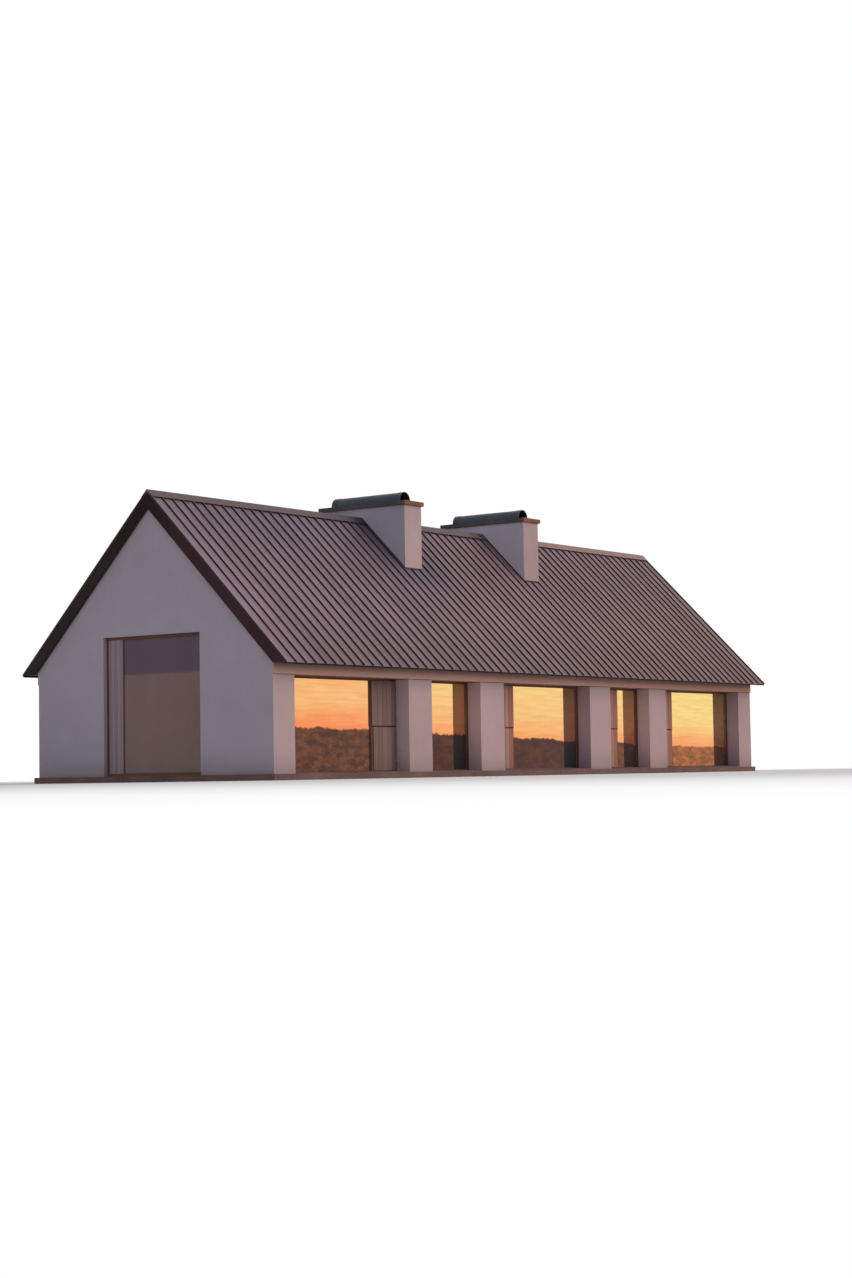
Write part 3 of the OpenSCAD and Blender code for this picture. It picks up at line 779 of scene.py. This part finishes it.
def window_trim():
    """Glazing beads round each window inside and out, seals between its panes, and its sloped sill.

    Panes that stand less than widest_joint apart make one window.
    """
    bead = np.array([(0, 0), (0.014, 0), (0.014, 0.004), (0.005, 0.013), (0, 0.013)])
    sill = np.array([
        (0, -0.001), (-0.042, -0.009), (-0.042, -0.026),
        (-0.039, -0.026), (-0.039, -0.012), (0, -0.005),
    ])
    widest_joint = 0.02
    seal_stands_out = 0.0015
    beads = []
    seals = []
    sills = []
    for node, front in (("front_glass", True), ("back_glass", False)):
        low, high = corners(node)
        starts, ends = pane_ends(node)
        joined = starts[1:] - ends[:-1] < widest_joint
        first = starts[np.append(True, ~joined)]
        last = ends[np.append(~joined, True)]
        for face, outward in ((low[1], -1), (high[1], 1)):
            lows = np.stack([first, np.full_like(first, face), np.full_like(first, low[2])], axis=1)
            highs = np.stack([last, np.full_like(last, face), np.full_like(last, high[2])], axis=1)
            beads.append(mitred_loops(lows, highs, bead * (1, outward), (0, 2, 1)))
        left = ends[:-1][joined]
        right = starts[1:][joined]
        near = low[1] - seal_stands_out
        far = high[1] + seal_stands_out
        outlines = np.stack([
            np.stack([left, right, right, left], axis=1),
            np.tile([near, near, far, far], (len(left), 1)),
        ], axis=-1)
        seals.append(along_z(outlines, low[2], high[2]))
        run = along_x(sill + (-FRAME_FACE, low[2]), first, last)
        sills.append(run if front else mirrored(run, 1))
    piece("glazing_beads", bronze, "frame_metal", *[(b, True) for b in beads])
    piece("pane_seals", warm_glass, "frame_metal", *[(s, False) for s in seals])
    piece("window_sills", bronze, "frame_metal", *[(s, False) for s in sills])


def thresholds():
    """Stone in each bay from the frame to the pier's face, 30 mm thick at the frame, with a round nose.

    The nose is a quarter circle: its point at the turn a lies r (1 - sin a) back and r cos a up.
    """
    turn = np.linspace(0, math.pi / 2, 5)
    nose = 0.012
    thick = 0.026
    fall = 0.004
    behind_face = 0.004
    front_y = -PIER_FACE + behind_face
    round_y = front_y + nose * (1 - np.sin(turn))
    round_z = PIER_FOOT + thick - nose + nose * np.cos(turn)
    outline = np.concatenate([
        [(-FRAME_FACE, PIER_FOOT), (-FRAME_FACE, PIER_FOOT + thick + fall)],
        np.stack([round_y, round_z], axis=1),
        [(front_y, PIER_FOOT)],
    ])
    run = along_x(outline, PIERS[:-1, 1, 0], PIERS[1:, 0, 0])
    piece("bay_thresholds", stone, "floor_stone", (run, False), (mirrored(run, 1), False))


def bed_joint_shadows():
    """Dark joint, 12 mm high, round the head of every pier under its beam; it also stands as painted shadow
    of the beam's proud edge.

    At the corner piers it stays clear of the smooth gable, so its run there lies inside the wall.
    """
    off_gable = 0.012
    outline = [(0.004, -0.012), (-0.002, -0.012), (-0.002, -0.0005), (0.004, -0.0005)]
    lows = PIERS[:, 0].copy()
    highs = PIERS[:, 1].copy()
    lows[:, 2] = PIER_HEAD
    lows[0, 0] += off_gable
    highs[-1, 0] -= off_gable
    loops = mitred_loops(lows, highs, outline, (0, 1, 2))
    # A joint that is partly painted shadow under the beam
    piece("pier_bed_joints", dark_seal, "render", (loops, True), (mirrored(loops, 1), True))


def gable_trim():
    """Boards of the fixed panel, and beads round the gable glass; the far gable mirrors the near one.

    A board's outline in X and Y has its two front corners cut off by the groove.
    """
    frame_low, frame_high = corners("near_gable_frame")
    glass_low, glass_high = corners("gable_glass")
    count = 5
    recess = 0.018
    board_t = 0.016
    groove = 0.006
    half_gap = 0.001
    bar = glass_low[1] - frame_low[1]
    edges = np.linspace(glass_high[1], frame_high[1] - bar, count + 1)
    left = edges[:-1]
    right = edges[1:]
    back_x = frame_low[0] + recess
    face_x = back_x - board_t
    corner_x = [face_x + groove, face_x, face_x, face_x + groove, back_x, back_x]
    corner_y = [
        left + half_gap, left + groove, right - groove,
        right - half_gap, right - half_gap, left + half_gap,
    ]
    front = np.stack([np.tile(corner_x, (count, 1)), np.stack(corner_y, axis=1)], axis=-1)
    boards_up = along_z(front, glass_low[2], glass_high[2])
    piece("gable_panel_boards", panel_timber, "timber", (boards_up, False), (mirrored(boards_up, 0), False))
    bead = np.array([(0, 0), (0.016, 0), (0.016, -0.005), (0.005, -0.015), (0, -0.015)])
    loops = mitred_loops(glass_low[None], glass_high[None], bead, (1, 2, 0))
    piece("gable_glazing_beads", bronze, "frame_metal", (loops, True), (mirrored(loops, 0), True))


def weather_bars():
    """Bar along the foot of each upper leaf: its top falls outwards, and it ends above the joint."""
    outline = np.array([(0, 0.001), (0.008, 0.001), (0.008, 0.008), (0.002, 0.017), (0, 0.017)])
    hinge_margin = 0.03
    free_margin = 0.003
    for n in DOOR_BAYS:
        low, high = corners(f"door_{n}_upper")
        start, end = (free_margin, hinge_margin) if n == 1 else (hinge_margin, free_margin)
        placed = np.stack([low[1] + KNUCKLE_R - outline[:, 0], low[2] + outline[:, 1]], axis=1)
        run = along_x(placed, [low[0] + start], [high[0] - end])
        # The bar's near-black tone is partly painted shadow at the leaves' joint
        piece(f"door_{n}_weather_bar", dark_bar, "frame_metal", (run, False), body=f"door_{n}_upper")


def chimney_flashings():
    """Metal upstand round each stack: its foot follows both slopes, its top lies a set height above them."""
    thick = 0.0025
    seat = 0.0003
    height = 0.055
    top_fall = 0.004
    signs = np.array([[-1, -1], [1, -1], [1, 0], [1, 1], [-1, 1], [-1, 0]])
    outline = np.array([(seat, 0), (thick, 0), (thick, height), (seat, height + top_fall)])
    middle = (STACKS[:, 0, :2] + STACKS[:, 1, :2]) / 2
    half = (STACKS[:, 1, :2] - STACKS[:, 0, :2]) / 2
    grids = np.empty((len(STACKS), len(signs), len(outline), 3))
    reach = half[:, None, None] + outline[None, None, :, :1]
    grids[..., :2] = middle[:, None, None] + signs[None, :, None] * reach
    grids[..., 2] = slope_z(grids[..., 1], SHEET_T) + outline[:, 1]
    # Dark metal upstand: real flashing that also stands as painted shade along the stack's foot
    piece("chimney_flashings", dark_flashing, "roof_metal", (grids, True))


def eave_drips():
    """Folded drip strip under the sheet's edge along both eaves."""
    outline = np.array([
        (0.0005, -0.0005), (0.004, -0.004), (0.004, -0.038),
        (0.009, -0.044), (0.0075, -0.046), (0.0005, -0.038),
    ])
    placed = np.stack([-EAVE_Y - outline[:, 0], EAVE_Z + outline[:, 1]], axis=1)
    run = along_x(placed, [-ROOF_END], [ROOF_END])
    # The drip's near-black tone is partly painted shadow under the eaves
    piece("eave_drips", dark_bar, "barge_metal", (run, False), (mirrored(run, 1), False))


def ridge_screws():
    """A screw in every sheet bay through both flanges of the ridge cap, none where a stack stands."""
    off_stack = 0.05
    from_edge = 0.03
    head_r = 0.011
    places = -ROOF_END + SEAM_W / 2 + (np.arange(SEAM_BAYS) + 0.5) * SEAM_PITCH
    past_low = places[:, None] > STACKS[:, 0, 0] - off_stack
    before_high = places[:, None] < STACKS[:, 1, 0] + off_stack
    places = places[~(past_low & before_high).any(axis=1)]
    down = RIDGE_FLANGE - from_edge
    y = -down * math.cos(ROOF_SLOPE) - RIDGE_TOP * math.sin(ROOF_SLOPE)
    centres = np.stack([places, np.full_like(places, y), np.full_like(places, slope_z(y, RIDGE_TOP))], axis=1)
    normals = np.tile([0.0, -math.sin(ROOF_SLOPE), math.cos(ROOF_SLOPE)], (len(places), 1))
    heads = domes(centres, normals, head_r)
    piece("ridge_screws", ridge, "roof_metal", (heads, False), (mirrored(heads, 1), False))


def cowl_trim():
    """Foot flanges along both sides of each cowl, and bolts over the bands at its ends."""
    flange = np.array([
        (0, 0), (0.05, 0), (0.05, 0.005), (0.006, 0.005),
        (0.004, 0.007), (0.004, 0.03), (0, 0.03),
    ])
    from_end = 0.085
    head_r = 0.012
    turn = np.radians([12, 35, 58, 122, 145, 168])
    out = np.stack([np.cos(turn), np.zeros(len(turn)), np.sin(turn)], axis=1)
    runs = []
    bolts = []
    for low, high in COWLS:
        middle = (low[0] + high[0]) / 2
        radius = (high[0] - low[0]) / 2
        for side in (-1, 1):
            run = np.empty((1, 2, len(flange), 3))
            run[..., 0] = middle + side * (radius + flange[:, 0])
            run[..., 1] = np.array([low[1], high[1]])[None, :, None]
            run[..., 2] = low[2] + flange[:, 1]
            runs.append(run)
            centre = np.array([middle, side * (high[1] - from_end), low[2] + COWL_FOOT])
            bolts.append(domes(centre + out * radius, out, head_r))
    piece("cowl_foot_flanges", cowl, "cowl_metal", *[(r, False) for r in runs])
    piece("cowl_bolts", cowl, "cowl_metal", *[(b, False) for b in bolts])


def cap_drips():
    """Drip bead hung under the edge of each cap slab, and a low lip round its top."""
    drip = [(0.012, 0.0), (0.012, -0.010), (0.024, -0.010), (0.024, 0.0)]
    lip = [(0.0005, 0.0), (0.002, 0.007), (0.012, 0.007), (0.018, 0.0)]
    tops = CAPS[:, 0].copy()
    tops[:, 2] = CAPS[:, 1, 2]
    loops = mitred_loops(CAPS[:, 0], CAPS[:, 1], drip, (0, 1, 2))
    rims = mitred_loops(tops, CAPS[:, 1], lip, (0, 1, 2))
    piece("cap_edges", capping, "cowl_metal", (loops, True), (rims, True))


def pale_floor():
    """The studio floor: pale and shadowed near the house, and as white as the backdrop further out.

    Gloss and glass see that white part too.
    """
    mesh = bpy.data.meshes.new("studio_floor")
    square = np.array([[-1, -1, 0], [1, -1, 0], [1, 1, 0], [-1, 1, 0]], float) * FLOOR_REACH
    mesh.from_pydata(square.tolist(), [], [[0, 1, 2, 3]])
    floor = bpy.data.objects.new("studio_floor", mesh)
    bpy.context.scene.collection.objects.link(floor)
    f = Finish("studio_floor", roughness=0.95, Specular_IOR_Level=0.1)
    f.shader.inputs["Base Color"].default_value = FLOOR_COLOR
    distance = f.add("ShaderNodeVectorMath", {0: f.place}, operation="LENGTH").outputs["Value"]
    far = f.math("MULTIPLY", f.ramp(distance, *FLOOR_WHITENS), seen_rays(f.tree))
    glow = f.add("ShaderNodeEmission", {"Color": WHITE, "Strength": 1.0})
    mixed = f.add("ShaderNodeMixShader", {0: far, 1: f.shader.outputs[0], 2: glow.outputs[0]})
    output = next(n for n in f.tree.nodes if n.type == "OUTPUT_MATERIAL")
    f.tree.links.new(mixed.outputs[0], output.inputs["Surface"])
    mesh.materials.append(f.material)


camera()
studio_light()
white_backdrop()
pale_floor()

# Tones from the deep to the pale end of each pattern
# Front tones are warmer, painted light, and end tones cooler, painted shade, on one and the same render
FRONT_TONES = [(0.28, "#9d8688"), (0.50, "#aa9293"), (0.74, "#b59d9e")]
END_TONES = [(0.28, "#968b93"), (0.50, "#a1959d"), (0.74, "#aba0a7")]
# The beam's tones are warmer than the walls': painted warm light on the same render
BEAM_TONES = [(0.28, "#a98578"), (0.50, "#b28d7f"), (0.74, "#bb9687")]
# The far sheets are warmer than the near ones: painted evening light
NEAR_SHEETS = [(0.34, "#68545d"), (0.50, "#77626a"), (0.66, "#866f78")]
FAR_SHEETS = [(0.34, "#70585b"), (0.50, "#806669"), (0.66, "#8f7477")]
# Door tones are the timber's own, made darker as painted shade of the recess
GREY_BOARDS = [(0.28, "#624c48"), (0.42, "#70564f"), (0.56, "#725e5a"), (0.72, "#7a6967")]
BROWN_BOARDS = [(0.28, "#835a4d"), (0.42, "#966453"), (0.56, "#9b766c"), (0.72, "#a8857d")]
PANEL_TONES = [(0.26, "#7f6a70"), (0.42, "#897478"), (0.55, "#927d83"), (0.74, "#9c888e")]

walls = wall_render("lime_render", FRONT_TONES, END_TONES)
beams = wall_render("beam_render", BEAM_TONES, END_TONES, under_eaves=True)
stone = pale_stone("plinth_stone", "#6f5650", "#634c47", "#523e3b")
boards = floor_boards("floor_boards")
roof = seamed_metal("roof_metal", NEAR_SHEETS, FAR_SHEETS)
ridge = capped_metal("ridge_metal")
lining = roof_slab("roof_slab_boards")
barge = barge_paint("barge_metal")
cowl = plain_metal("cowl_metal", "#3a404c", "#303642", "#272b35", 0.42, 0.3, 0.3)
capping = slab_cap("cap_slab")
# Flashing tones are dark partly as painted shade at the stacks' foot
dark_flashing = plain_metal("flashing_metal", "#3c3337", "#31292d", "#272023", 0.55, 0.3, 0.3)
bronze = plain_metal("frame_metal", "#6e4c3e", "#5e3f33", "#4d342a", 0.42, 0.2, 0.2)
# Near black, partly as painted shadow under the eaves and under each upper leaf
dark_bar = plain_metal("dark_bar", "#281b1c", "#1e1314", "#160d0e", 0.55, 0.1, 0.1)
warm_glass = mirrored_glass("warm_glass")
dusk_glass = dusky_glass("dusk_glass")
dark_seal = pointing("dark_seal", "#332b2a", "#241e1e")
panel_timber = weathered_boards("panel_boards", PANEL_TONES, PANEL_BOARD_W, PANEL_START, "Y")

dress(stone, "plinth")
dress(boards, "floor")
dress(walls, *PIER_NODES, "back_piers", "near_gable_wall", "far_gable_wall")
dress(walls, "chimney_1_stack", "chimney_2_stack")
dress(beams, "front_beam", "back_beam")
dress(roof, "front_roof_sheet", "back_roof_sheet")
dress(ridge, "ridge_cap")
dress(lining, "front_roof_slope", "back_roof_slope")
dress(barge, "near_barge_boards", "far_barge_boards")
dress(cowl, "chimney_1_cowl", "chimney_2_cowl")
dress(capping, "chimney_1_cap", "chimney_2_cap")
dress(bronze, *[f"front_frame_{n}" for n in FRONT_BAYS], "back_frames", "near_gable_frame", "far_gable_frame")
dress(bronze, "hinge_pins")
dress(warm_glass, "front_glass", "back_glass")
dress(dusk_glass, "gable_glass")
for n in DOOR_BAYS:
    leaf_start = corners(f"door_{n}_lower")[0][0] + (0 if n == 1 else KNUCKLE_R)
    tones = GREY_BOARDS if n == 1 else BROWN_BOARDS
    leaf_boards = weathered_boards(f"door_{n}_boards", tones, BOARD_W, leaf_start, split=LEAF_SPLIT)
    dress(leaf_boards, f"door_{n}_upper", f"door_{n}_lower")

window_trim()
thresholds()
bed_joint_shadows()
gable_trim()
weather_bars()
chimney_flashings()
eave_drips()
ridge_screws()
cowl_trim()
cap_drips()

bpy.context.scene.view_settings.view_transform = "Standard"
